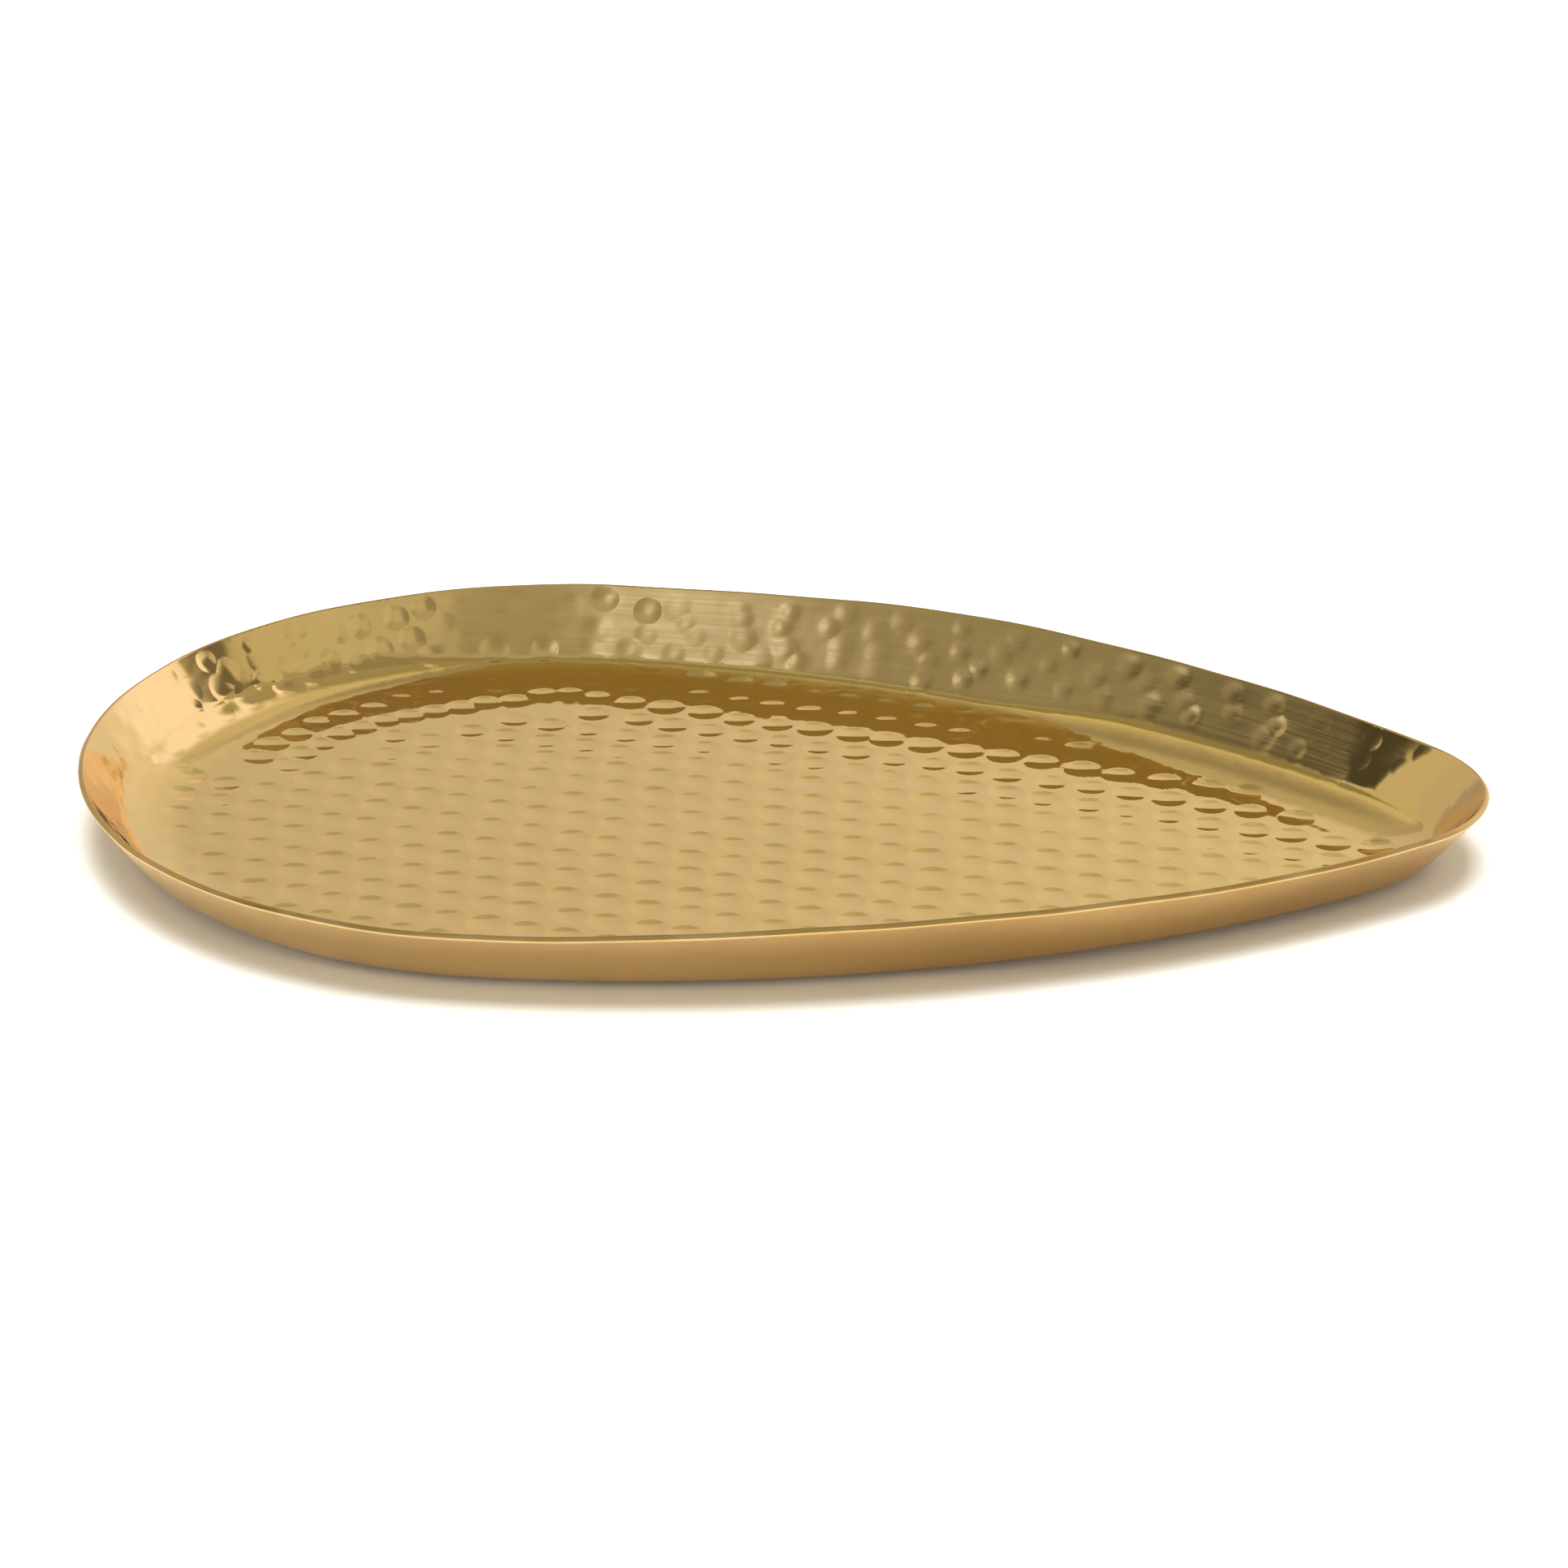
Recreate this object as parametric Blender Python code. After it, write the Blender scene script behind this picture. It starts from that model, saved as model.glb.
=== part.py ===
"""Teardrop serving tray: one sheet of brass raised into a shallow dish with a flared wall.

The round end lies towards -X and the tip towards +X. The tray stands on its base at Z = 0, and the
origin is at the middle of its overall length and width. Run it with blender --background --python part.py.
"""

import math

import bmesh
import bpy

# Driving dimensions, in metres.
LENGTH = 0.350
WIDTH = 0.2302
HEIGHT = 0.021
SHEET_GAUGE = 0.0016

# The plan outline is a half circle at the round end, then a flank arc and a tip arc on each side, all
# tangent to each other. The flank and tip radii follow from LENGTH, WIDTH and the flank's turn.
ROUND_END_RADIUS = WIDTH / 2
ROUND_END_TURN = math.pi / 2
FLANK_TURN = math.radians(42.0)
TIP_TURN = math.pi - ROUND_END_TURN - FLANK_TURN

# Wall sections along the rim, from the round end to the tip. From the rim down the wall is a straight
# flare, a fillet, and a long lift into the flat base: (rim x, flare from vertical, fillet radius, lift
# radius, lift tilt). Between two places one section turns smoothly into the next.
WALL_SECTIONS = (
    (-0.135, math.radians(36.0), 0.0120, 0.038, math.radians(22.0)),
    (-0.085, math.radians(41.7), 0.0035, 0.040, math.radians(14.0)),
    (0.045, math.radians(41.7), 0.0035, 0.040, math.radians(14.0)),
    (0.090, math.radians(36.5), 0.0050, 0.066, math.radians(16.5)),
    (0.150, math.radians(36.5), 0.0050, 0.066, math.radians(16.5)),
    (0.170, math.radians(40.5), 0.0050, 0.066, math.radians(16.5)),
)
FLANK_FLARE = WALL_SECTIONS[1][1]

# The rim sweeps up to a low crest along the flanks and is lower at both ends.
CREST_RISE = 0.0021
CREST_X = 0.042
CREST_SPREAD = 0.067
END_RIM_HEIGHT = HEIGHT - CREST_RISE - SHEET_GAUGE * math.sin(FLANK_FLARE)

# Facets.
ROUND_END_FACETS = 18
FLANK_FACETS = 17
TIP_FACETS = 10
FILLET_FACETS = 4
LIFT_FACETS = 3
SHARP_EDGE_ANGLE = math.radians(35.0)

# Material.
BRASS_COLOR = (0.72, 0.51, 0.22, 1.0)
BRASS_ROUGHNESS = 0.22
BRASS_METALLIC = 1.0


def clear_scene():
    """Remove every object that the file opened with."""
    for existing in list(bpy.data.objects):
        bpy.data.objects.remove(existing, do_unlink=True)


def arc_reach(start_heading, turn):
    """Travel along and across the long axis, per unit radius, of an arc that turns clockwise."""
    end_heading = start_heading - turn
    along = math.sin(start_heading) - math.sin(end_heading)
    across = math.cos(end_heading) - math.cos(start_heading)
    return along, across


def flank_and_tip_radii():
    """Flank and tip radii that make the half outline LENGTH long and end it on the long axis."""
    heading = math.pi / 2 - ROUND_END_TURN
    flank_along, flank_across = arc_reach(heading, FLANK_TURN)
    heading -= FLANK_TURN
    tip_along, tip_across = arc_reach(heading, TIP_TURN)
    along_left = LENGTH - ROUND_END_RADIUS
    across_left = -ROUND_END_RADIUS
    determinant = flank_along * tip_across - tip_along * flank_across
    flank = (along_left * tip_across - tip_along * across_left) / determinant
    tip = (flank_along * across_left - along_left * flank_across) / determinant
    return flank, tip


def half_outline():
    """Rim points on the +Y side, round end to tip, each as (x, y, outward x, outward y)."""
    flank_radius, tip_radius = flank_and_tip_radii()
    arcs = (
        (ROUND_END_RADIUS, ROUND_END_TURN, ROUND_END_FACETS),
        (flank_radius, FLANK_TURN, FLANK_FACETS),
        (tip_radius, TIP_TURN, TIP_FACETS),
    )
    x, y = -LENGTH / 2, 0.0
    heading = math.pi / 2
    points = [(x, y, -1.0, 0.0)]
    for radius, turn, facets in arcs:
        centre_x = x + radius * math.sin(heading)
        centre_y = y - radius * math.cos(heading)
        for step in range(1, facets + 1):
            direction = heading - turn * step / facets
            out_x, out_y = -math.sin(direction), math.cos(direction)
            points.append((centre_x + radius * out_x, centre_y + radius * out_y, out_x, out_y))
        x, y = points[-1][0], points[-1][1]
        heading -= turn
    return points


def full_outline():
    """The closed rim outline, clockwise from above, with the -Y side mirrored from the +Y side."""
    upper = half_outline()
    lower = [(x, -y, out_x, -out_y) for x, y, out_x, out_y in upper[-2:0:-1]]
    return upper + lower


def crest_rise(x):
    """How far the rim sweeps up above its height at the ends."""
    return CREST_RISE * math.exp(-(((x - CREST_X) / CREST_SPREAD) ** 2))


def smooth_step(value, start, end):
    """Share from 0 at start to 1 at end, level at both."""
    share = min(1.0, max(0.0, (value - start) / (end - start)))
    return share * share * (3.0 - 2.0 * share)


def wall_section(rim_x):
    """Flare, fillet radius, lift radius and lift tilt of the wall below one place on the rim."""
    section = WALL_SECTIONS[0][1:]
    for before, after in zip(WALL_SECTIONS, WALL_SECTIONS[1:]):
        share = smooth_step(rim_x, before[0], after[0])
        section = [value + (end - start) * share for value, start, end in zip(section, before[1:], after[1:])]
    return section


def wall_profile(rim_x):
    """Outer surface from the rim to the base, each point as (distance in from the rim, height, tilt)."""
    flare, fillet_radius, lift_radius, lift_tilt = wall_section(rim_x)
    wall_tilt = math.pi / 2 - flare
    lift_height = lift_radius * (1.0 - math.cos(lift_tilt))
    fillet_height = fillet_radius * (math.cos(lift_tilt) - math.cos(wall_tilt))
    straight_height = END_RIM_HEIGHT - fillet_height - lift_height
    fillet_inset = straight_height * math.tan(flare)
    profile = [(0.0, END_RIM_HEIGHT, wall_tilt)]
    for step in range(FILLET_FACETS + 1):
        tilt = wall_tilt + (lift_tilt - wall_tilt) * step / FILLET_FACETS
        inset = fillet_inset + fillet_radius * (math.sin(wall_tilt) - math.sin(tilt))
        height = lift_height + fillet_radius * (math.cos(lift_tilt) - math.cos(tilt))
        profile.append((inset, height, tilt))
    lift_inset = profile[-1][0]
    for step in range(1, LIFT_FACETS + 1):
        tilt = lift_tilt * (1.0 - step / LIFT_FACETS)
        inset = lift_inset + lift_radius * (math.sin(lift_tilt) - math.sin(tilt))
        profile.append((inset, lift_radius * (1.0 - math.cos(tilt)), tilt))
    return profile


def sheet_sections(rim_x):
    """Points down the outer face and back up the inner face, each as (inset, height, share of the crest)."""
    outer = wall_profile(rim_x)
    outer_face = [(inset, height, height / END_RIM_HEIGHT) for inset, height, _ in outer]
    inner_face = [
        (inset + SHEET_GAUGE * math.sin(tilt), height + SHEET_GAUGE * math.cos(tilt), height / END_RIM_HEIGHT)
        for inset, height, tilt in outer
    ]
    return outer_face + inner_face[::-1]


def add_ring(mesh, outline, sections, level):
    """One closed ring of vertices, each at its own section's point of the given level."""
    ring = []
    for (x, y, out_x, out_y), section in zip(outline, sections):
        inset, height, crest_share = section[level]
        z = height + crest_share * crest_rise(x)
        ring.append(mesh.verts.new((x - inset * out_x, y - inset * out_y, z)))
    return ring


def join_rings(mesh, first, second):
    """Quads between two rings with the same number of vertices."""
    count = len(first)
    for i in range(count):
        j = (i + 1) % count
        mesh.faces.new((first[i], first[j], second[j], second[i]))


def brass_material():
    """Polished brass for the sheet."""
    material = bpy.data.materials.new("brass")
    material.use_nodes = True
    shader = material.node_tree.nodes["Principled BSDF"]
    shader.inputs["Base Color"].default_value = BRASS_COLOR
    shader.inputs["Roughness"].default_value = BRASS_ROUGHNESS
    shader.inputs["Metallic"].default_value = BRASS_METALLIC
    return material


def build_tray_shell():
    """The raised sheet: outer face, base, inner face, floor and cut rim as one closed body."""
    outline = full_outline()
    sections = [sheet_sections(x) for x, _, _, _ in outline]
    levels = len(sections[0])
    mesh = bmesh.new()
    rings = [add_ring(mesh, outline, sections, level) for level in range(levels)]
    base_ring = levels // 2 - 1
    for i, ring in enumerate(rings):
        if i != base_ring:
            join_rings(mesh, ring, rings[(i + 1) % len(rings)])
    mesh.faces.new(rings[base_ring])
    mesh.faces.new(rings[base_ring + 1])
    bmesh.ops.recalc_face_normals(mesh, faces=mesh.faces)
    data = bpy.data.meshes.new("tray_shell")
    mesh.to_mesh(data)
    mesh.free()
    data.shade_smooth()
    data.set_sharp_from_angle(angle=SHARP_EDGE_ANGLE)
    data.materials.append(brass_material())
    tray = bpy.data.objects.new("tray_shell", data)
    bpy.context.scene.collection.objects.link(tray)
    return tray


clear_scene()
build_tray_shell()
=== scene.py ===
"""Looks for the brass tray: one sheet, planished inside with round hammer marks, satin outside.

The round end lies towards -X and the tip towards +X, and the tray stands on Z = 0. Its inner face is worked
out as a flat pattern, in which the hammer marks are round, and then bent up into the dish.
"""

import math
import random
from collections import namedtuple

import bmesh
import bpy
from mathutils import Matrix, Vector
from mathutils.geometry import delaunay_2d_cdt


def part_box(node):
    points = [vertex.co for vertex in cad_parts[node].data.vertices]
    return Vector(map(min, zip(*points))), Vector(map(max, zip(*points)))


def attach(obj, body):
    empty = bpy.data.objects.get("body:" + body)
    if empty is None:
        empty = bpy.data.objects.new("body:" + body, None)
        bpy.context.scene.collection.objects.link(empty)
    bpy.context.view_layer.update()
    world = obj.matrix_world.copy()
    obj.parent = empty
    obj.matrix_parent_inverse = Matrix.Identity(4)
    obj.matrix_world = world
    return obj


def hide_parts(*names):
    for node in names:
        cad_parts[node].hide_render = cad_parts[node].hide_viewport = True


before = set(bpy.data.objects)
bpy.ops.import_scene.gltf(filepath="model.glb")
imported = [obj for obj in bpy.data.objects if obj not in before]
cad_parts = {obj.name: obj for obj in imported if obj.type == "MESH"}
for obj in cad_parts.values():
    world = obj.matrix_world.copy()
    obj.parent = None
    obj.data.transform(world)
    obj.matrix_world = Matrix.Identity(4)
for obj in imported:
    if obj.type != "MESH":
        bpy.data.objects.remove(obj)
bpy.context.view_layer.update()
tray_low, tray_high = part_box("tray_shell")

# Driving dimensions, in metres, the same as the solid's. The rim stays under the solid's by the clearance.
LENGTH = tray_high.x - tray_low.x
WIDTH = tray_high.y - tray_low.y
HEIGHT = tray_high.z - tray_low.z
GAUGE = 0.0016
FLANK_TURN = math.radians(42.0)
TIP_TURN = math.pi / 2 - FLANK_TURN
CREST_RISE = 0.0021
CREST_X = 0.042
CREST_SPREAD = 0.067
CLEARANCE = 0.00006

# Wall sections along the rim, the same as the solid's: (rim x, flare from vertical, fillet radius,
# lift radius, lift tilt). Between two places one section turns smoothly into the next.
WALL_SECTIONS = (
    (-0.135, math.radians(36.0), 0.0120, 0.038, math.radians(22.0)),
    (-0.085, math.radians(41.7), 0.0035, 0.040, math.radians(14.0)),
    (0.045, math.radians(41.7), 0.0035, 0.040, math.radians(14.0)),
    (0.090, math.radians(36.5), 0.0050, 0.066, math.radians(16.5)),
    (0.150, math.radians(36.5), 0.0050, 0.066, math.radians(16.5)),
    (0.170, math.radians(40.5), 0.0050, 0.066, math.radians(16.5)),
)
FLANK_FLARE = WALL_SECTIONS[1][1]

# The cut rim: its corners' radius, and how far it dips on average where it is uneven.
EDGE_RADIUS = 0.00040
RIM_DIP = 0.00018

# Hammer marks on the floor, in straight rows that head a little off the long axis. The first row is the one
# furthest towards +Y. Scatter is one standard deviation, along and across a row.
MARK_PITCH = 0.0105
ROW_PITCH = 0.01095
FIRST_ROW = 0.0820
FLOOR_ROWS = 17
ROW_HEADING = math.radians(-14.0)
ROW_WANDER = 0.0009
SCATTER_ALONG = 0.00045
SCATTER_ACROSS = 0.00035
FLOOR_MARK_RADIUS = 0.0047
FLOOR_MARK_DEPTH = 0.000255

# How far in from the rim the straight rows stop: on the round end's +Y side, on the +Y flank, elsewhere.
ROUND_END_TO_X = -0.066
ROUND_END_FROM_Y = 0.015
FLANK_FROM_X = 0.03
ROUND_END_MARGIN = 0.0505
FLANK_MARGIN = 0.0268
FLOOR_MARGIN = 0.0195

# Rows that follow the wall: (distance in from the rim, first and last distance round the rim, pitch). They
# drift towards the wall by FOLLOWING_DRIFT over a range of the distance round the rim.
FOLLOWING_ROWS = (
    (0.0322, 0.036, 0.176, 0.0122),
    (0.0420, 0.034, 0.172, 0.0116),
)
FOLLOWING_DRIFT = 0.005
FOLLOWING_DRIFT_RANGE = (0.135, 0.175)
SCATTER_OFF_ROW = 0.0007

# Rows of marks on the wall: (distance below the rim, pitch).
WALL_ROWS = (
    (0.0176, 0.0125),
    (0.0132, 0.0130),
    (0.0088, 0.0135),
    (0.0044, 0.0150),
)
WALL_MARK_RADIUS = 0.0038
WALL_MARK_DEPTH = 0.00030
DEEPEST_MARK = 0.00040

# Where the marks on the wall change, from and to: shallow at both ends, deeper in a patch by the round end
# and on the flanks towards the tip, all by x, and a nearly smooth stretch, by the distance round the rim.
ROUND_END_CALM = (-0.132, -0.150)
TIP_CALM = (0.125, 0.135)
PATCH_START = (-0.100, -0.118)
DEEPER_START = (0.01, 0.04)
SMOOTH_START = (0.128, 0.136)
SMOOTH_END = (0.180, 0.168)

# Crisper single blows on the wall by the round end: (distance round the rim, below the rim).
BOLD_MARKS = (
    (0.109, 0.0065),
    (0.113, 0.0140),
    (0.120, 0.0060),
    (0.123, 0.0125),
    (0.128, 0.0040),
    (0.147, 0.0180),
    (0.162, 0.0185),
    (0.179, 0.0040),
    (0.191, 0.0070),
)
BOLD_MARK_RADIUS = (0.0036, 0.0042)
BOLD_MARK_DEPTH = (0.00034, DEEPEST_MARK)
BOLD_MARK_SOFTNESS = 0.95
BOLD_MARK_ROOM = 0.0062

# The mesh: points round the rim, spacing of the points between the marks, the least gaps between points,
# and the rings of points of a crisp and a soft mark, each as (share of the mark's radius, points).
RIM_STEPS = 720
POINT_SPACING = 0.0026
FILLET_POINT_SPACING = 0.0015
SECOND_RIM_RING = 0.00028
FIRST_WALL_RING = 0.0007
WALL_RING_STEP = 0.0012
FILLET_RING_STEP = 0.0005
FILLET_OVERLAP = 0.0012
MARK_CENTRE_GAP = 0.0002
MARK_RING_GAP = 0.00017
WALL_POINT_GAP = 0.00045
FLOOR_POINT_GAP = 0.0006
RIM_MARGIN = 0.0005
MARK_OUTLINE = 1.08
DENT_FADE = 0.003
CRISP_RINGS = ((0.25, 8), (0.5, 14), (0.75, 20), (0.93, 24), (1.0, 26), (1.07, 26))
SOFT_RINGS = ((0.3, 8), (0.6, 13), (0.85, 16), (1.05, 18))
SOFT_FROM = 1.1
OUTER_STRAIGHT_STEPS = 6
OUTER_FILLET_STEPS = 8
OUTER_LIFT_STEPS = 7
CORNER_STEPS = 3

# Material slots of the sheet.
INSIDE, RIM, OUTSIDE = 0, 1, 2

# Brass where it is clean, paler, deeper and tanned, the darkest brass, used on the rim and as painted shade
# outside towards the tip, and the paper of the studio floor.
BRASS = (0.80, 0.555, 0.24, 1.0)
BRASS_PALE = (0.82, 0.60, 0.31, 1.0)
BRASS_DEEP = (0.76, 0.53, 0.22, 1.0)
BRASS_TANNED = (0.69, 0.48, 0.215, 1.0)
BRASS_DARKEST = (0.62, 0.40, 0.155, 1.0)
PAPER = (0.90, 0.90, 0.90, 1.0)
PAPER_PALE = (0.92, 0.92, 0.915, 1.0)

# Soft panels of the room that the brass mirrors, each laid over the ones before it: (azimuth from and to,
# elevation from and to, radiance, softness of the edges in azimuth and in elevation), in degrees. Azimuth
# is 0 towards +Y and grows towards +X, so that the camera's side is at -180 and 180.
PANELS = (
    # Behind the tray, and round the right to the camera's side.
    (-4, 12, 33, 48.5, 0.74, 1.5, 2),
    (5, 200, 29.5, 44.5, 1.24, 3.5, 3),
    (60.5, 200, 25, 90, 0.50, 1.5, 1.5),
    (51, 61, 37, 60, 0.52, 2, 1.5),
    (74, 122, 29, 49, 0.68, 2, 3),
    (60.5, 74, 27, 37, 0.20, 1.5, 2),
    (66, 200, -90, 25, 0.75, 8, 4),
    # The camera's side, right to left, with one bright window high on the left.
    (112, 146, 38, 60, 0.62, 8, 6),
    (146, 200, 27, 66, 0.35, 8, 6),
    (-200, -166, 27, 66, 0.38, 6, 7),
    (-168, -112, 27, 66, 0.34, 8, 7),
    (-164, -146, 48, 70, 1.15, 7, 7),
    # The left, dark beside a paler part, and round to the back again.
    (-116, -88.5, 22, 52, 0.17, 10, 6),
    (-104, -88.5, 22, 44, 0.08, 5, 4),
    (-88.5, -44, 28, 47, 0.70, 1, 3),
    (-44, -16, 36, 53, 0.74, 5, 3),
    # High up.
    (-200, 200, 64, 80, 0.52, 1, 4),
    (-90, 90, 60, 90, 0.36, 6, 3),
    # Low down.
    (-240, -108, -8, 22, 1.35, 8, 4),
    (-112, -92, -8, 25, 0.92, 8, 4),
    (112, 240, -8, 22, 0.75, 10, 4),
    (-62, -26, -20, 11, 0.46, 4, 3),
)

# The set.
STUDIO_FLOOR_SIZE = 6.0
STUDIO_FLOOR_Z = -0.00002
FILL_ENERGY = 78.0
FILL_SIZE = 1.6
FILL_HEIGHT = 2.2
CAMERA_PLACE = (0.16958, -1.29284, 0.56162)
CAMERA_AIM = (0.002792, -0.013892, 0.01786)
SENSOR_WIDTH = 36.0
FOCAL_LENGTH = 130.80

Mark = namedtuple("Mark", "x y radius depth softness")

random.seed(41)


# ---------------------------------------------------------------- plan outline and wall profile
def arc_reach(start, turn):
    """Travel along and across the long axis, per unit radius, of an arc that turns clockwise."""
    return math.sin(start) - math.sin(start - turn), math.cos(start - turn) - math.cos(start)


def outline_arcs():
    """The upper half outline as (centre x, centre y, radius, start heading, turn, length before it)."""
    round_radius = WIDTH / 2
    flank_along, flank_across = arc_reach(0.0, FLANK_TURN)
    tip_along, tip_across = arc_reach(-FLANK_TURN, TIP_TURN)
    along, across = LENGTH - round_radius, -round_radius
    scale = flank_along * tip_across - tip_along * flank_across
    flank_radius = (along * tip_across - tip_along * across) / scale
    tip_radius = (flank_along * across - along * flank_across) / scale
    x, y, heading, before = -LENGTH / 2, 0.0, math.pi / 2, 0.0
    arcs = []
    for radius, turn in ((round_radius, math.pi / 2), (flank_radius, FLANK_TURN), (tip_radius, TIP_TURN)):
        cx, cy = x + radius * math.sin(heading), y - radius * math.cos(heading)
        arcs.append((cx, cy, radius, heading, turn, before))
        heading -= turn
        x, y = cx - radius * math.sin(heading), cy + radius * math.cos(heading)
        before += radius * turn
    return arcs, before


ARCS, HALF_GIRTH = outline_arcs()
GIRTH = 2 * HALF_GIRTH


def rim_point(s):
    """Rim x, y and the outward direction at a distance s round the rim from the round end."""
    s %= GIRTH
    side = 1.0
    if s > HALF_GIRTH:
        s, side = GIRTH - s, -1.0
    for cx, cy, radius, heading, turn, before in ARCS:
        if s <= before + radius * turn + 1e-12:
            break
    direction = heading - (s - before) / radius
    ox, oy = -math.sin(direction), math.cos(direction)
    return cx + radius * ox, side * (cy + radius * oy), ox, side * oy


def rim_coordinates(x, y):
    """Distance round the rim and distance in from the rim of a plan point."""
    mirrored = y < 0
    y = abs(y)
    best_gap, best_s, best_inset = math.inf, 0.0, 0.0
    for cx, cy, radius, heading, turn, before in ARCS:
        # Heading whose outward direction points from the arc's centre to the plan point.
        direction = math.atan2(y - cy, x - cx) - math.pi / 2
        gone = min(max(heading - direction, 0.0), turn)
        ox, oy = -math.sin(heading - gone), math.cos(heading - gone)
        inset = (cx + radius * ox - x) * ox + (cy + radius * oy - y) * oy
        gap = math.hypot(cx + (radius - inset) * ox - x, cy + (radius - inset) * oy - y)
        if gap < best_gap - 1e-9 or (abs(gap - best_gap) <= 1e-9 and inset < best_inset):
            best_gap, best_s, best_inset = gap, before + radius * gone, inset
    return (GIRTH - best_s if mirrored else best_s), best_inset


def crest_rise(x):
    """How far the rim sweeps up above its height at the ends."""
    return CREST_RISE * math.exp(-(((x - CREST_X) / CREST_SPREAD) ** 2))


def smooth_step(value, start, end):
    """Share from 0 at start to 1 at end, level at both."""
    share = min(1.0, max(0.0, (value - start) / (end - start)))
    return share * share * (3 - 2 * share)


def rim_wave(s):
    """Small unevenness of the cut rim's height, always downwards."""
    turn = 2 * math.pi * s / GIRTH
    return -RIM_DIP * (1 + math.sin(9 * turn + 0.6) * 0.6 + math.sin(23 * turn + 2.0) * 0.4)


class Profile:
    """The sheet's section below one place on the rim."""

    def __init__(self, rim_x):
        section = WALL_SECTIONS[0][1:]
        for before, after in zip(WALL_SECTIONS, WALL_SECTIONS[1:]):
            share = smooth_step(rim_x, before[0], after[0])
            changes = zip(section, before[1:], after[1:])
            section = [value + (end - start) * share for value, start, end in changes]
        self.flare, self.fillet, self.lift, self.lift_tilt = section
        self.tilt = math.pi / 2 - self.flare
        self.lift_height = self.lift * (1 - math.cos(self.lift_tilt))
        fillet_height = self.fillet * (math.cos(self.lift_tilt) - math.cos(self.tilt))
        self.rim_height = HEIGHT - CREST_RISE - GAUGE * math.sin(FLANK_FLARE) - CLEARANCE
        self.straight_height = self.rim_height - fillet_height - self.lift_height
        self.fillet_start = self.straight_height * math.tan(self.flare)
        fillet_run = self.fillet * (math.sin(self.tilt) - math.sin(self.lift_tilt))
        self.base_inset = self.fillet_start + fillet_run + self.lift * math.sin(self.lift_tilt)
        self.lift_length = (self.lift - GAUGE) * self.lift_tilt
        self.fillet_length = (self.fillet - GAUGE) * (self.tilt - self.lift_tilt)
        straight_length = self.straight_height / math.cos(self.flare)
        self.wall_length = straight_length + self.fillet_length + self.lift_length
        self.top_up = self.wall_length - EDGE_RADIUS

    def inner(self, up):
        """Inner face at a developed distance up from the flat floor: (inset, height, tilt)."""
        if up <= self.lift_length:
            tilt = up / (self.lift - GAUGE)
            inset = self.base_inset - (self.lift - GAUGE) * math.sin(tilt)
            return inset, GAUGE + (self.lift - GAUGE) * (1 - math.cos(tilt)), tilt
        if up <= self.lift_length + self.fillet_length:
            tilt = self.lift_tilt + (up - self.lift_length) / (self.fillet - GAUGE)
            centre = self.fillet_start + self.fillet * math.sin(self.tilt)
            inset = centre - (self.fillet - GAUGE) * math.sin(tilt)
            height = self.lift_height + self.fillet * math.cos(self.lift_tilt)
            return inset, height - (self.fillet - GAUGE) * math.cos(tilt), tilt
        straight = self.wall_length - up
        inset = GAUGE * math.sin(self.tilt) + straight * math.cos(self.tilt)
        height = self.rim_height + GAUGE * math.cos(self.tilt) - straight * math.sin(self.tilt)
        return inset, height, self.tilt

    def outer(self):
        """Outer face from below the rim to the base, each as (inset, height)."""
        sections = []
        for k in range(OUTER_STRAIGHT_STEPS + 1):
            share = 0.05 + 0.95 * k / OUTER_STRAIGHT_STEPS
            sections.append((share * self.fillet_start, self.rim_height - share * self.straight_height))
        for k in range(1, OUTER_FILLET_STEPS + 1):
            tilt = self.tilt + (self.lift_tilt - self.tilt) * k / OUTER_FILLET_STEPS
            inset = self.fillet_start + self.fillet * (math.sin(self.tilt) - math.sin(tilt))
            height = self.lift_height + self.fillet * (math.cos(self.lift_tilt) - math.cos(tilt))
            sections.append((inset, height))
        for k in range(1, OUTER_LIFT_STEPS + 1):
            tilt = self.lift_tilt * (1 - k / OUTER_LIFT_STEPS)
            sections.append((self.base_inset - self.lift * math.sin(tilt), self.lift * (1 - math.cos(tilt))))
        return sections

    def rim(self):
        """The cut rim with its two corners eased, from the inner face over to the outer face."""
        angles = [math.pi / 2 * k / CORNER_STEPS for k in range(CORNER_STEPS + 1)]
        inner_corner = [(GAUGE - EDGE_RADIUS, math.cos(angle), math.sin(angle)) for angle in angles[1:]]
        outer_corner = [(EDGE_RADIUS, -math.sin(angle), math.cos(angle)) for angle in angles]
        sections = []
        for corner, round_in, round_up in inner_corner + outer_corner:
            through = corner + EDGE_RADIUS * round_in
            rise = EDGE_RADIUS * (round_up - 1)
            inset = through * math.sin(self.tilt) - rise * math.cos(self.tilt)
            height = self.rim_height + through * math.cos(self.tilt) + rise * math.sin(self.tilt)
            sections.append((inset, height))
        return sections


PLAIN = Profile(0.0)


def profile_at(s):
    """The sheet's section at a distance s round the rim."""
    return Profile(rim_point(s)[0])


# ---------------------------------------------------------------- hammer marks
def developed(s, up):
    """Flat pattern point of the inner face, a distance s round the rim and up from the flat floor."""
    x, y, ox, oy = rim_point(s)
    gone = up - Profile(x).base_inset
    return x + gone * ox, y + gone * oy


def wander(x, y, seed):
    """Slow two-dimensional drift between -1 and 1."""
    return 0.5 * (math.sin(41 * x + 23 * y + 1.7 * seed) + math.sin(-17 * x + 53 * y + 2.9 * seed))


def floor_margin(x, y):
    """How far in from the rim the straight rows stop near a plan point."""
    if x < ROUND_END_TO_X and y > ROUND_END_FROM_Y:
        return ROUND_END_MARGIN
    if x > FLANK_FROM_X and y > 0.0:
        return FLANK_MARGIN
    return FLOOR_MARGIN


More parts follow.
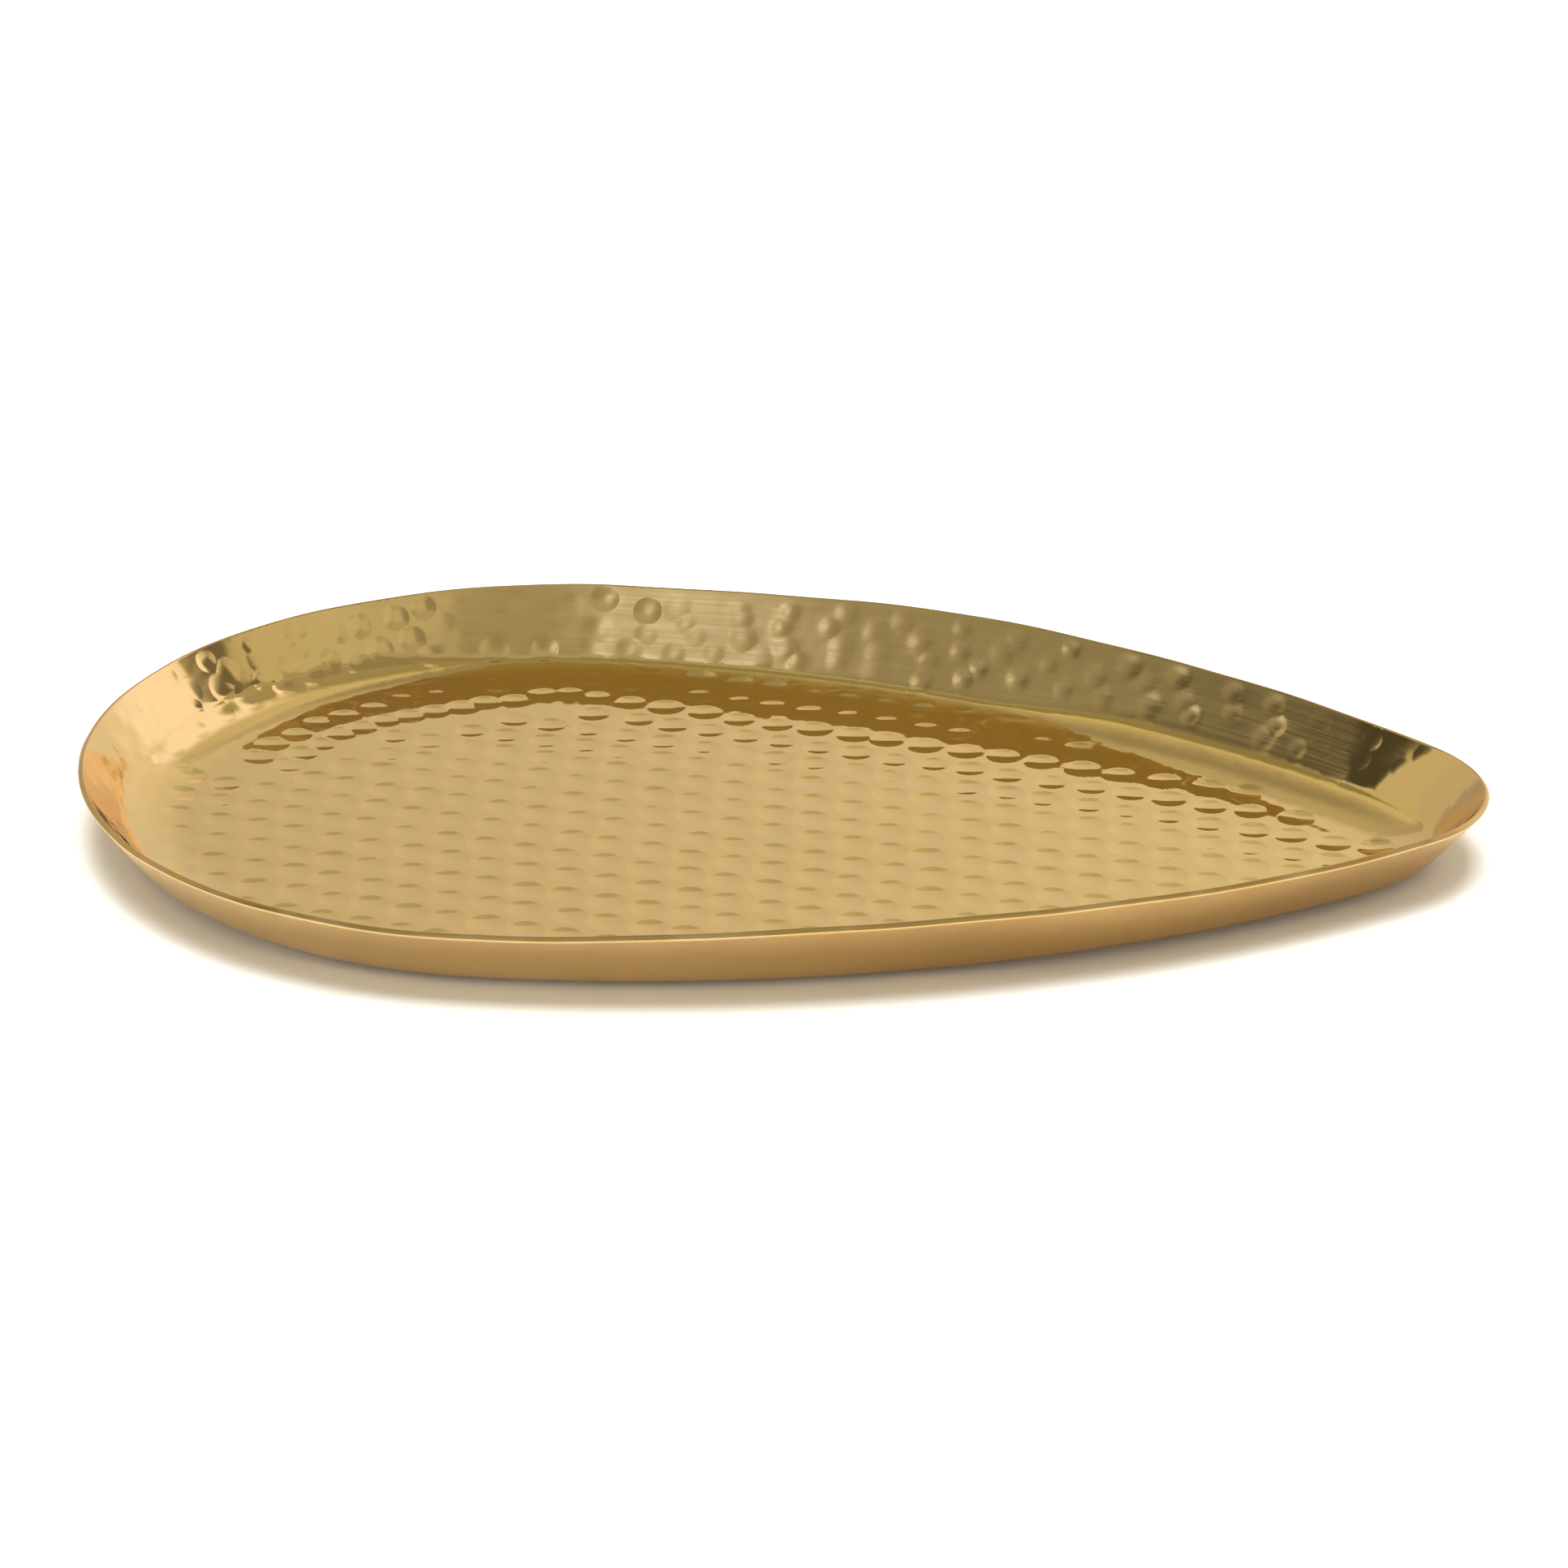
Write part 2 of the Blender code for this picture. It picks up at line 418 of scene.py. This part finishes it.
def floor_marks():
    """Straight rows of marks over the floor, heading a little off the long axis and nearly touching."""
    marks = []
    ux, uy = math.cos(ROW_HEADING), math.sin(ROW_HEADING)
    steps = int(LENGTH / MARK_PITCH)
    phase = 0.35
    for row in range(FLOOR_ROWS):
        phase += random.uniform(0.25, 0.55)
        for step in range(-steps // 2 - 2, steps // 2 + 3):
            along = (step + phase) * MARK_PITCH + random.gauss(0, SCATTER_ALONG)
            across = FIRST_ROW - row * ROW_PITCH + random.gauss(0, SCATTER_ACROSS)
            x, y = along * ux - across * uy, along * uy + across * ux
            x += ROW_WANDER * wander(x, y, 1.0)
            y += ROW_WANDER * wander(x, y, 2.0)
            if rim_coordinates(x, y)[1] < floor_margin(x, y):
                continue
            size = random.uniform(0.88, 1.06)
            depth = FLOOR_MARK_DEPTH * size * random.uniform(0.92, 1.1)
            marks.append(Mark(x, y, FLOOR_MARK_RADIUS * size, depth, 1.0))
    return marks


def following_marks():
    """Rows that follow the wall on the +Y side of the round end, along the floor's edge."""
    marks = []
    for inset, first, last, pitch in FOLLOWING_ROWS:
        s = first
        while s < last:
            x, y, ox, oy = rim_point(s)
            drift = FOLLOWING_DRIFT * smooth_step(s, *FOLLOWING_DRIFT_RANGE)
            gone = inset - drift + random.gauss(0, SCATTER_OFF_ROW)
            size = random.uniform(0.92, 1.06)
            radius, depth = FLOOR_MARK_RADIUS * size, FLOOR_MARK_DEPTH * size
            marks.append(Mark(x - gone * ox, y - gone * oy, radius, depth, 1.0))
            s += pitch * random.uniform(0.84, 1.16)
    return marks


def bold_marks():
    """Crisper single blows on the wall by the round end."""
    marks = []
    for s, below_rim in BOLD_MARKS:
        x, y = developed(s, profile_at(s).wall_length - below_rim)
        radius = random.uniform(*BOLD_MARK_RADIUS)
        marks.append(Mark(x, y, radius, random.uniform(*BOLD_MARK_DEPTH), BOLD_MARK_SOFTNESS))
    return marks


def wall_marks():
    """The bold marks, and between them softer marks in staggered rows round the wall."""
    bold = bold_marks()
    marks = list(bold)
    for below_rim, pitch in WALL_ROWS:
        s = random.uniform(0, pitch)
        while s < GIRTH - 0.5 * pitch:
            profile = profile_at(s)
            up = profile.wall_length - below_rim + random.gauss(0, SCATTER_OFF_ROW)
            x, y = developed(s, up)
            at_end = max(smooth_step(x, *ROUND_END_CALM), smooth_step(x, *TIP_CALM))
            patchy = smooth_step(x, *PATCH_START) if y > 0 else 0.0
            deeper = 1.0 + 0.5 * smooth_step(x, *DEEPER_START)
            smooth = smooth_step(s, *SMOOTH_START) * smooth_step(s, *SMOOTH_END)
            radius = WALL_MARK_RADIUS * random.uniform(0.8, 1.15)
            depth = WALL_MARK_DEPTH * random.uniform(0.45, 1.05) * (1 + patchy) * (1 - 0.75 * at_end)
            depth = min(DEEPEST_MARK, depth * (1 - 0.7 * smooth) * deeper)
            softness = random.uniform(1.2, 1.8) * (1 - at_end) + at_end
            s += pitch * random.uniform(0.82, 1.2)
            beside_bold = any(math.hypot(x - mark.x, y - mark.y) < BOLD_MARK_ROOM for mark in bold)
            foot = profile.lift_length + 0.3 * profile.fillet_length
            above_foot = x < FLANK_FROM_X or up - radius > foot
            if above_foot and not beside_bold:
                marks.append(Mark(x, y, radius, depth, softness))
    return marks


class MarkGrid:
    """Finds the hammer marks near a flat pattern point."""

    CELL = 0.006

    def __init__(self, marks):
        self.cells = {}
        for mark in marks:
            self.cells.setdefault(self.key(mark.x, mark.y), []).append(mark)

    def key(self, x, y):
        """Column and row of the cell that holds a point."""
        return int(x / self.CELL + 1000), int(y / self.CELL + 1000)

    def near(self, x, y):
        """The marks in the point's cell and in the eight cells round it."""
        column, row = self.key(x, y)
        for i in (-1, 0, 1):
            for j in (-1, 0, 1):
                yield from self.cells.get((column + i, row + j), ())

    def is_clear(self, x, y, margin):
        """Whether a point is outside every mark by a margin."""
        for mark in self.near(x, y):
            if math.hypot(mark.x - x, mark.y - y) < mark.radius * MARK_OUTLINE + margin:
                return False
        return True

    def dent(self, x, y):
        """Depth of the deepest mark at a point."""
        deepest = 0.0
        for mark in self.near(x, y):
            share = math.hypot(mark.x - x, mark.y - y) / mark.radius
            if share < 1:
                deepest = max(deepest, mark.depth * (1 - share * share) ** mark.softness)
        return deepest


# ---------------------------------------------------------------- the flat pattern's points
class PointSet:
    """Flat pattern points, and a grid of cells that finds the ones close to a new point."""

    CELL = 0.00045

    def __init__(self):
        self.points = []
        self.cells = {}

    def add(self, x, y, gap):
        """Add a point, unless an earlier one in its cell or the eight round it is closer than the gap."""
        column, row = math.floor(x / self.CELL), math.floor(y / self.CELL)
        for i in (-1, 0, 1):
            for j in (-1, 0, 1):
                for other_x, other_y in self.cells.get((column + i, row + j), ()):
                    if (other_x - x) ** 2 + (other_y - y) ** 2 < gap * gap:
                        return
        self.cells.setdefault((column, row), []).append((x, y))
        self.points.append((x, y))


def add_rim_points(points):
    """The pattern's edge, and a second ring just below it. The edge comes first, in order."""
    for below in (0.0, SECOND_RIM_RING):
        for i in range(RIM_STEPS):
            s = GIRTH * i / RIM_STEPS
            points.add(*developed(s, profile_at(s).top_up - below), 0.0)


def add_mark_points(points, marks):
    """Rings of points in and just round each mark, clear of the rim."""
    for mark in marks:
        points.add(mark.x, mark.y, MARK_CENTRE_GAP)
        rings = SOFT_RINGS if mark.softness > SOFT_FROM else CRISP_RINGS
        for share, count in rings:
            turn = random.uniform(0, 1)
            for k in range(count):
                angle = 2 * math.pi * (k + turn) / count
                x = mark.x + share * mark.radius * math.cos(angle)
                y = mark.y + share * mark.radius * math.sin(angle)
                s, inset = rim_coordinates(x, y)
                profile = profile_at(s)
                if profile.base_inset - inset < profile.top_up - RIM_MARGIN:
                    points.add(x, y, MARK_RING_GAP)


def add_wall_points(points, grid):
    """Rings of points down the wall between the marks, closer together over the fillet."""
    to_fillet = PLAIN.wall_length - PLAIN.lift_length - PLAIN.fillet_length
    down = FIRST_WALL_RING
    while down < PLAIN.wall_length + 0.002:
        over_fillet = -FILLET_OVERLAP < down - to_fillet < PLAIN.fillet_length + FILLET_OVERLAP
        steps = int(GIRTH / (FILLET_POINT_SPACING if over_fillet else POINT_SPACING))
        stagger = 0.5 * (int(down * 1e4) % 2)
        for i in range(steps):
            s = GIRTH * (i + stagger) / steps
            top_up = profile_at(s).top_up
            x, y = developed(s, top_up - down * top_up / PLAIN.top_up)
            if grid.is_clear(x, y, 0.0002):
                points.add(x, y, WALL_POINT_GAP)
        down += FILLET_RING_STEP if over_fillet else WALL_RING_STEP


def add_floor_points(points, grid):
    """An even filling of the floor between the marks, in triangles."""
    row_spacing = 0.866
    rows = int(WIDTH / (POINT_SPACING * row_spacing))
    for row in range(-rows // 2, rows // 2 + 1):
        for step in range(int(LENGTH / POINT_SPACING) + 1):
            x = -LENGTH / 2 + (step + 0.5 * (row % 2)) * POINT_SPACING
            y = row * POINT_SPACING * row_spacing
            s, inset = rim_coordinates(x, y)
            if inset > profile_at(s).base_inset + 0.002 and grid.is_clear(x, y, 0.0004):
                points.add(x, y, FLOOR_POINT_GAP)


# ---------------------------------------------------------------- the sheet's mesh
def sheet_point(x, y):
    """Where a flat pattern point lies on the undented inner face.

    Gives the place, the normal, how far up past the lift it is, how far round the rim, and the share of a
    mark's depth that is left there, which falls to nothing at the rim.
    """
    s, inset = rim_coordinates(x, y)
    rx, ry, ox, oy = rim_point(s)
    profile = Profile(rx)
    up = profile.base_inset - inset
    if up <= 0:
        return (x, y, GAUGE), (0.0, 0.0, 1.0), up - profile.lift_length, s, 1.0
    real_inset, height, tilt = profile.inner(min(up, profile.top_up))
    share = (height - GAUGE * math.cos(tilt)) / profile.rim_height
    place = (rx - real_inset * ox, ry - real_inset * oy, height + share * crest_rise(rx))
    normal = (-ox * math.sin(tilt), -oy * math.sin(tilt), math.cos(tilt))
    dent_share = min(1.0, max(0.0, (profile.wall_length - up) / DENT_FADE))
    return place, normal, up - profile.lift_length, s, dent_share


class Sheet:
    """Vertices and faces of the sheet.

    wall_up is how far up past the lift a vertex of the inner face is, and 0 on the rim and the outer face.
    """

    def __init__(self):
        self.places = []
        self.wall_up = []
        self.faces = []
        self.slots = []

    def add_inner_face(self, marks):
        """The hammered inner face. Gives the ring of vertices along its edge."""
        grid = MarkGrid(marks)
        points = PointSet()
        add_rim_points(points)
        add_mark_points(points, marks)
        add_wall_points(points, grid)
        add_floor_points(points, grid)
        edge = [(i, (i + 1) % RIM_STEPS) for i in range(RIM_STEPS)]
        vectors = [Vector(point) for point in points.points]
        pattern, _, triangles, sources, _, _ = delaunay_2d_cdt(vectors, edge, [], 1, 1e-9)
        for point in pattern:
            place, normal, up, s, dent_share = sheet_point(point.x, point.y)
            dent = grid.dent(point.x, point.y) * dent_share
            up_share = min(1.0, max(0.0, up) / (PLAIN.wall_length - PLAIN.lift_length))
            wave = up_share**2 * rim_wave(s)
            x, y, z = (at - dent * direction for at, direction in zip(place, normal))
            self.places.append((x, y, z + wave))
            self.wall_up.append(up)
        for triangle in triangles:
            self.faces.append(tuple(triangle))
            self.slots.append(INSIDE)
        edge_vertex = {source: i for i, found in enumerate(sources) for source in found}
        return [edge_vertex[i] for i in range(RIM_STEPS)]

    def add_ring(self, stations, level):
        """One ring of the rim or the outer face, at one level of the stations. Gives its vertices."""
        first = len(self.places)
        for s, rim_height, sections in stations:
            rx, ry, ox, oy = rim_point(s)
            inset, height = sections[level]
            share = min(1.0, height / rim_height)
            z = height + share * crest_rise(rx) + share * share * rim_wave(s)
            self.places.append((rx - inset * ox, ry - inset * oy, z))
            self.wall_up.append(0.0)
        return list(range(first, first + RIM_STEPS))

    def join(self, upper, lower, slot):
        """Quads between two rings."""
        for i in range(RIM_STEPS):
            j = (i + 1) % RIM_STEPS
            self.faces.append((upper[i], upper[j], lower[j], lower[i]))
            self.slots.append(slot)

    def close(self, ring):
        """The flat base, as one face."""
        self.faces.append(tuple(ring[::-1]))
        self.slots.append(OUTSIDE)

    def finished(self):
        """The sheet as an object, with its faces turned outwards."""
        data = bpy.data.meshes.new("hammered_sheet")
        data.from_pydata(self.places, [], self.faces)
        data.polygons.foreach_set("material_index", self.slots)
        attribute = data.attributes.new("wall_up", "FLOAT", "POINT")
        attribute.data.foreach_set("value", self.wall_up)
        mesh = bmesh.new()
        mesh.from_mesh(data)
        bmesh.ops.recalc_face_normals(mesh, faces=mesh.faces)
        mesh.to_mesh(data)
        mesh.free()
        data.shade_smooth()
        piece = bpy.data.objects.new("hammered_sheet", data)
        bpy.context.scene.collection.objects.link(piece)
        return piece


def rim_stations():
    """Steps round the rim, each as (distance round, rim height, section over the rim and down outside)."""
    stations = []
    for i in range(RIM_STEPS):
        s = GIRTH * i / RIM_STEPS
        profile = profile_at(s)
        stations.append((s, profile.rim_height, profile.rim() + profile.outer()))
    return stations


def build_sheet():
    """The whole sheet: hammered inner face, cut rim, outer face and base as one closed mesh."""
    marks = floor_marks() + following_marks() + wall_marks()
    sheet = Sheet()
    previous = sheet.add_inner_face(marks)
    stations = rim_stations()
    rim_levels = len(PLAIN.rim())
    for level in range(rim_levels + len(PLAIN.outer())):
        current = sheet.add_ring(stations, level)
        sheet.join(previous, current, RIM if level < rim_levels else OUTSIDE)
        previous = current
    sheet.close(previous)
    return sheet.finished()


# ---------------------------------------------------------------- materials
class Graph:
    """Short-hand for building a node tree."""

    def __init__(self, tree):
        self.tree = tree
        self.tree.nodes.clear()

    def node(self, kind, **settings):
        """A node with its settings, and with values or links for the inputs named in inputs."""
        made = self.tree.nodes.new(kind)
        inputs = settings.pop("inputs", {})
        for name, value in settings.items():
            setattr(made, name, value)
        for name, value in inputs.items():
            self.feed(made.inputs[name], value)
        return made

    def feed(self, socket, value):
        """Link a socket to another node's output, or set it to a plain value."""
        if isinstance(value, bpy.types.NodeSocket):
            self.tree.links.new(value, socket)
        else:
            socket.default_value = value

    def math(self, operation, a, b=0.0):
        """One arithmetic step."""
        made = self.node("ShaderNodeMath", operation=operation, inputs={0: a, 1: b})
        return made.outputs[0]

    def ramp(self, value, low, high, at_low, at_high):
        """Smooth passage from at_low to at_high while value goes from low to high."""
        made = self.node("ShaderNodeMapRange", interpolation_type="SMOOTHSTEP")
        for name, number in (("From Min", low), ("From Max", high), ("To Min", at_low), ("To Max", at_high)):
            self.feed(made.inputs[name], number)
        self.feed(made.inputs["Value"], value)
        return made.outputs["Result"]

    def mix(self, factor, a, b):
        """Mix of two colours."""
        made = self.node("ShaderNodeMix", data_type="RGBA")
        for name, value in (("Factor", factor), ("A", a), ("B", b)):
            self.feed(made.inputs[name], value)
        return made.outputs["Result"]

    def blend(self, factor, a, b):
        """Mix of two numbers."""
        made = self.node("ShaderNodeMix", data_type="FLOAT")
        for socket, value in zip((made.inputs[0], made.inputs[2], made.inputs[3]), (factor, a, b)):
            self.feed(socket, value)
        return made.outputs[0]

    def noise(self, vector, scale, detail, roughness):
        """Noise between 0 and 1."""
        settings = {"Vector": vector, "Scale": scale, "Detail": detail, "Roughness": roughness}
        return self.node("ShaderNodeTexNoise", inputs=settings).outputs["Fac"]

    def stretch(self, vector, x, y, z):
        """A vector multiplied along each axis."""
        made = self.node("ShaderNodeVectorMath", operation="MULTIPLY", inputs={0: vector, 1: (x, y, z)})
        return made.outputs[0]

    def bump(self, height, distance, strength, under=None):
        """Fine relief, on top of another relief if one is given."""
        settings = {"Height": height, "Distance": distance, "Strength": strength}
        if under is not None:
            settings["Normal"] = under
        return self.node("ShaderNodeBump", inputs=settings).outputs["Normal"]


def procedural(name, metallic, finish):
    """A material whose finish function sets its colour, roughness and relief."""
    material = bpy.data.materials.new(name)
    material.use_nodes = True
    graph = Graph(material.node_tree)
    shader = graph.node("ShaderNodeBsdfPrincipled", inputs={"Metallic": metallic})
    graph.node("ShaderNodeOutputMaterial", inputs={"Surface": shader.outputs["BSDF"]})
    finish(graph, shader)
    return material


def inside_finish(graph, shader):
    """Polished floor and ends, and brushed flanks with streaks along the wall."""
    place = graph.node("ShaderNodeTexCoord").outputs["Object"]
    up = graph.node("ShaderNodeAttribute", attribute_name="wall_up").outputs["Fac"]
    parts = graph.node("ShaderNodeSeparateXYZ", inputs={0: place})
    patches = graph.noise(place, 30.0, 3.0, 0.55)
    smears = graph.noise(graph.stretch(place, 12.0, 40.0, 12.0), 1.0, 2.0, 0.5)

    # Long along the wall and narrow up it.
    plan = graph.node("ShaderNodeCombineXYZ", inputs={"X": parts.outputs["X"], "Y": parts.outputs["Y"]})
    along = graph.stretch(plan.outputs[0], 22.0, 22.0, 0.0)
    rise = graph.node("ShaderNodeCombineXYZ", inputs={"Z": graph.math("MULTIPLY", up, 1500.0)})
    streak_space = graph.node("ShaderNodeVectorMath", operation="ADD", inputs={0: along, 1: rise.outputs[0]})
    streaks = graph.noise(streak_space.outputs[0], 1.0, 3.0, 0.6)

    tone = graph.mix(graph.ramp(patches, 0.35, 0.7, 0.0, 0.6), BRASS, BRASS_DEEP)
    graph.feed(shader.inputs["Base Color"], tone)

    # The brushed part is the wall of both flanks, with ragged ends.
    wall = graph.ramp(up, 0.0, 0.003, 0.0, 1.0)
    ragged = graph.math("ADD", parts.outputs["X"], graph.ramp(patches, 0.3, 0.7, -0.006, 0.006))
    from_round_end = graph.ramp(ragged, -0.125, -0.085, 0.0, 1.0)
    to_tip = graph.ramp(ragged, 0.131, 0.141, 1.0, 0.0)
    flank = graph.math("MULTIPLY", from_round_end, to_tip)
    satin_share = graph.math("MULTIPLY", wall, graph.ramp(flank, 0.0, 1.0, 0.20, 1.0))
    polished = graph.ramp(smears, 0.3, 0.75, 0.025, 0.055)
    streaky = graph.ramp(streaks, 0.3, 0.7, 0.17, 0.25)
    satin = graph.math("ADD", streaky, graph.ramp(patches, 0.35, 0.7, 0.0, 0.05))
    graph.feed(shader.inputs["Roughness"], graph.blend(satin_share, polished, satin))

    soft = graph.bump(graph.noise(place, 85.0, 2.0, 0.5), 0.00022, 0.5)
    grain = graph.bump(graph.math("MULTIPLY", streaks, wall), 0.000010, 0.6, soft)
    graph.feed(shader.inputs["Normal"], grain)


def rim_finish(graph, shader):
    """Cut and filed rim, a little rougher than the floor."""
    place = graph.node("ShaderNodeTexCoord").outputs["Object"]
    file_marks = graph.noise(place, 900.0, 2.0, 0.6)
    slow = graph.noise(place, 60.0, 2.0, 0.5)
    tone = graph.mix(graph.ramp(slow, 0.45, 0.62, 0.0, 1.0), BRASS_DARKEST, BRASS_TANNED)
    graph.feed(shader.inputs["Base Color"], tone)
    graph.feed(shader.inputs["Roughness"], graph.ramp(slow, 0.35, 0.65, 0.26, 0.46))
    wavy = graph.bump(slow, 0.0006, 0.6)
    graph.feed(shader.inputs["Normal"], graph.bump(file_marks, 0.00002, 0.5, wavy))


def outside_finish(graph, shader):
    """Satin outside, slightly blotchy, paler towards the bottom, and darker towards the tip, where the
    darkening is painted shade.
    """
    place = graph.node("ShaderNodeTexCoord").outputs["Object"]
    parts = graph.node("ShaderNodeSeparateXYZ", inputs={0: place})
    blotches = graph.noise(place, 26.0, 4.0, 0.6)
    fine = graph.noise(place, 240.0, 3.0, 0.6)
    low = graph.ramp(parts.outputs["Z"], 0.001, 0.013, 1.0, 0.0)
    pale = graph.math("MULTIPLY", low, graph.ramp(blotches, 0.3, 0.65, 0.35, 1.0))
    # Painted shade: the base colour darkens towards the tip, towards the darkest brass.
    painted_tip_shade = graph.ramp(parts.outputs["X"], -0.03, 0.07, 0.0, 0.9)
    tone = graph.mix(graph.ramp(blotches, 0.3, 0.65, 0.2, 1.0), BRASS_DEEP, BRASS_TANNED)
    tone = graph.mix(pale, tone, BRASS_PALE)
    graph.feed(shader.inputs["Base Color"], graph.mix(painted_tip_shade, tone, BRASS_DARKEST))
    blotchy = graph.ramp(blotches, 0.3, 0.7, 0.29, 0.38)
    rough = graph.math("ADD", blotchy, graph.ramp(fine, 0.35, 0.65, -0.02, 0.02))
    graph.feed(shader.inputs["Roughness"], rough)
    graph.feed(shader.inputs["Normal"], graph.bump(fine, 0.00004, 0.5, graph.bump(blotches, 0.0006, 0.35)))


def floor_finish(graph, shader):
    """Matt white paper with a faint tooth."""
    place = graph.node("ShaderNodeTexCoord").outputs["Object"]
    tooth = graph.noise(place, 40.0, 3.0, 0.5)
    shader.inputs["Specular IOR Level"].default_value = 0.1
    graph.feed(shader.inputs["Base Color"], graph.mix(tooth, PAPER, PAPER_PALE))
    graph.feed(shader.inputs["Roughness"], graph.ramp(tooth, 0.3, 0.7, 0.75, 0.85))


# ---------------------------------------------------------------- the set
def panel_over(graph, level, azimuth, elevation, panel):
    """The room's brightness with one soft-edged panel laid over it."""
    az_from, az_to, el_from, el_to, radiance, az_soft, el_soft = panel
    inside = graph.ramp(azimuth, az_from - az_soft, az_from + az_soft, 0.0, 1.0)
    for edge in (
        graph.ramp(azimuth, az_to - az_soft, az_to + az_soft, 1.0, 0.0),
        graph.ramp(elevation, el_from - el_soft, el_from + el_soft, 0.0, 1.0),
        graph.ramp(elevation, el_to - el_soft, el_to + el_soft, 1.0, 0.0),
    ):
        inside = graph.math("MULTIPLY", inside, edge)
    return graph.blend(inside, level, radiance)


def room_brightness(graph, direction, azimuth, elevation):
    """Brightness of the room in every direction: a bright low part, a dimmer one above, and the panels."""
    overhead = graph.ramp(direction.outputs["X"], -0.5, 0.3, 0.33, 0.46)
    low = graph.ramp(azimuth, -20, 8, 0.665, 0.92)
    low = graph.math("ADD", low, graph.ramp(azimuth, 6, 16, 0.0, 0.05))
    low = graph.math("ADD", low, graph.ramp(azimuth, 24, 44, 0.0, 0.30))
    low = graph.math("MULTIPLY", low, graph.ramp(elevation, 9, 20, 0.95, 1.0))
    low = graph.math("MULTIPLY", low, graph.ramp(elevation, 29.0, 32.0, 1.0, 0.76))
    level = graph.blend(graph.ramp(elevation, 34.5, 40.0, 0.0, 1.0), low, overhead)
    for panel in PANELS:
        level = panel_over(graph, level, azimuth, elevation, panel)
    return level


def room_tint(graph, direction, azimuth, elevation, level):
    """Tint of the room: warm behind the tray and above it, and cool on the camera's side where bright."""
    bright = graph.ramp(level, 0.85, 1.25, 0.0, 1.0)
    warm = graph.mix(bright, (1.0, 0.94, 0.77, 1.0), (1.0, 0.965, 1.03, 1.0))
    above_low_part = graph.ramp(elevation, 28, 34, 0.0, 1.0)
    dim_above = graph.math("MULTIPLY", above_low_part, graph.ramp(level, 0.7, 1.0, 1.0, 0.0))
    warm = graph.mix(dim_above, warm, (1.0, 0.945, 0.68, 1.0))
    high = graph.ramp(elevation, 40, 58, 0.0, 1.0)
    high_left = graph.math("MULTIPLY", high, graph.ramp(azimuth, -4, 14, 1.0, 0.0))
    warm = graph.mix(high_left, warm, (1.0, 0.965, 0.52, 1.0))
    cool = graph.mix(graph.ramp(level, 0.70, 1.0, 0.0, 1.0), (1.0, 1.0, 0.80, 1.0), (1.0, 1.15, 1.50, 1.0))
    behind_tray = graph.ramp(direction.outputs["Y"], -0.25, 0.35, 0.0, 1.0)
    return graph.mix(behind_tray, cool, warm)


def studio_world():
    """The soft room that lights the tray and that the brass mirrors."""
    world = bpy.data.worlds.new("studio")
    bpy.context.scene.world = world
    world.use_nodes = True
    graph = Graph(world.node_tree)
    outwards = graph.node("ShaderNodeTexCoord").outputs["Generated"]
    direction = graph.node("ShaderNodeSeparateXYZ", inputs={0: outwards})
    degrees = 180 / math.pi
    elevation = graph.math("MULTIPLY", graph.math("ARCSINE", direction.outputs["Z"]), degrees)
    turn = graph.math("ARCTAN2", direction.outputs["X"], direction.outputs["Y"])
    azimuth = graph.math("MULTIPLY", turn, degrees)
    level = room_brightness(graph, direction, azimuth, elevation)
    tint = room_tint(graph, direction, azimuth, elevation, level)
    background = graph.node("ShaderNodeBackground", inputs={"Color": tint, "Strength": level})
    graph.node("ShaderNodeOutputWorld", inputs={"Surface": background.outputs[0]})


def add_floor():
    """Plain pale floor that the tray stands on."""
    bpy.ops.mesh.primitive_plane_add(size=STUDIO_FLOOR_SIZE, location=(0, 0, STUDIO_FLOOR_Z))
    floor = bpy.context.object
    floor.name = "studio_floor"
    floor.data.materials.append(procedural("paper", 0.0, floor_finish))
    return floor


def add_fill():
    """Broad overhead light that brightens the floor and leaves no mirror image in the brass."""
    data = bpy.data.lights.new("fill", "AREA")
    data.energy = FILL_ENERGY
    data.size = FILL_SIZE
    lamp = bpy.data.objects.new("fill", data)
    lamp.location = (0, 0, FILL_HEIGHT)
    lamp.visible_glossy = False
    bpy.context.scene.collection.objects.link(lamp)


def add_camera():
    """Camera above the near flank, a little to the right, that takes in the whole tray."""
    data = bpy.data.cameras.new("camera")
    data.sensor_width = SENSOR_WIDTH
    data.lens = FOCAL_LENGTH
    data.clip_start = 0.01
    data.dof.use_dof = False
    camera = bpy.data.objects.new("camera", data)
    camera.location = CAMERA_PLACE
    camera.rotation_euler = (Vector(CAMERA_AIM) - camera.location).to_track_quat("-Z", "Y").to_euler()
    bpy.context.scene.collection.objects.link(camera)
    bpy.context.scene.camera = camera


bpy.context.scene.view_settings.view_transform = "Standard"
sheet = build_sheet()
for name, finish in (
    ("polished_inside", inside_finish),
    ("filed_rim", rim_finish),
    ("satin_outside", outside_finish),
):
    sheet.data.materials.append(procedural(name, 1.0, finish))
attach(sheet, "root")
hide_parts("tray_shell")
add_floor()
studio_world()
add_fill()
add_camera()
